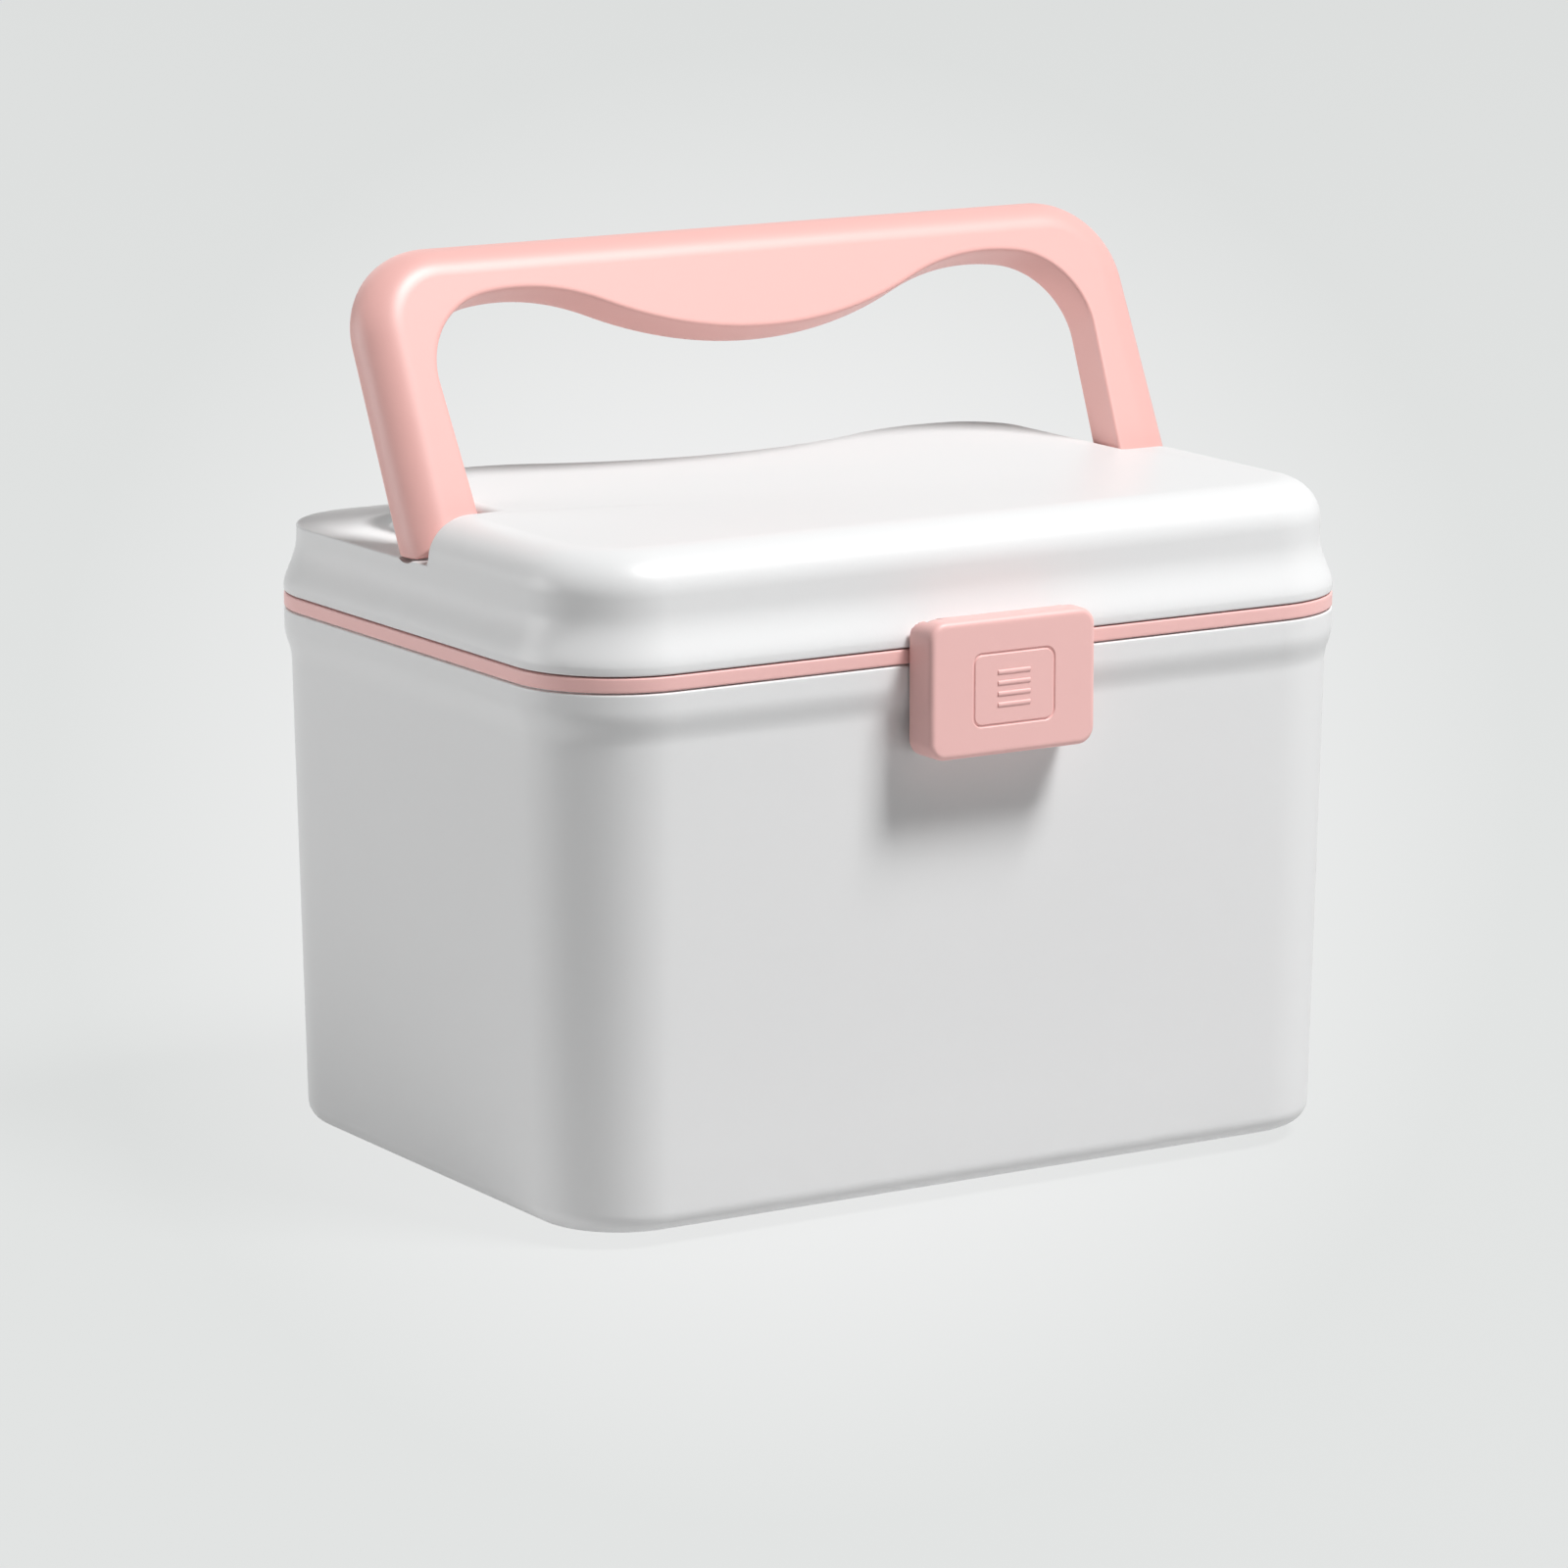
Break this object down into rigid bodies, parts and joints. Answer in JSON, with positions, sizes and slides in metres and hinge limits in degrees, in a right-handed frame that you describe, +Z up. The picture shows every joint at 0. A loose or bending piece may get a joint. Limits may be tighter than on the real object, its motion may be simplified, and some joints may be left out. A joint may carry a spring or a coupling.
{
  "type": "first aid case",
  "caption": "Portable white first aid case with a hinged lid, a pink rim band, a folding bail handle, a snap latch and a lift-out tray.",
  "frame": {"origin": "on the ground, at the middle of the case's plan as it stands with the lid closed", "axes": "+X to the right across the width, +Y to the rear where the hinges are, +Z up; the latch faces -Y"},
  "size_m": [0.21, 0.169, 0.2064],
  "materials": {
    "white_plastic": "satin",
    "pink_plastic": "satin",
    "tray_plastic": "matte",
    "pin_steel": "drawn"
  },
  "bodies": {
    "case": {"body_shell": "white_plastic", "rim_band": "pink_plastic", "tray": "tray_plastic", "hinge_pin_left": "pin_steel", "hinge_pin_right": "pin_steel"},
    "lid": {"lid_shell": "white_plastic", "latch_pin": "pin_steel"},
    "latch": {"latch_flap": "pink_plastic"},
    "handle": {"carry_handle": "pink_plastic"}
  },
  "joints": [
    {"name": "lid_hinge", "type": "hinge", "parent": "case", "child": "lid", "pos_m": [0, 0.0806, 0.12525], "axis": [-1, 0, 0], "range_deg": [0, 105]},
    {"name": "latch_hinge", "type": "hinge", "parent": "lid", "child": "latch", "pos_m": [0, -0.079, 0.1303], "axis": [-1, 0, 0], "range_deg": [0, 92]},
    {"name": "handle_hinge", "type": "hinge", "parent": "lid", "child": "handle", "pos_m": [0, 0.004, 0.14805], "axis": [-1, 0, 0], "range_deg": [-54, 64]}
  ]
}
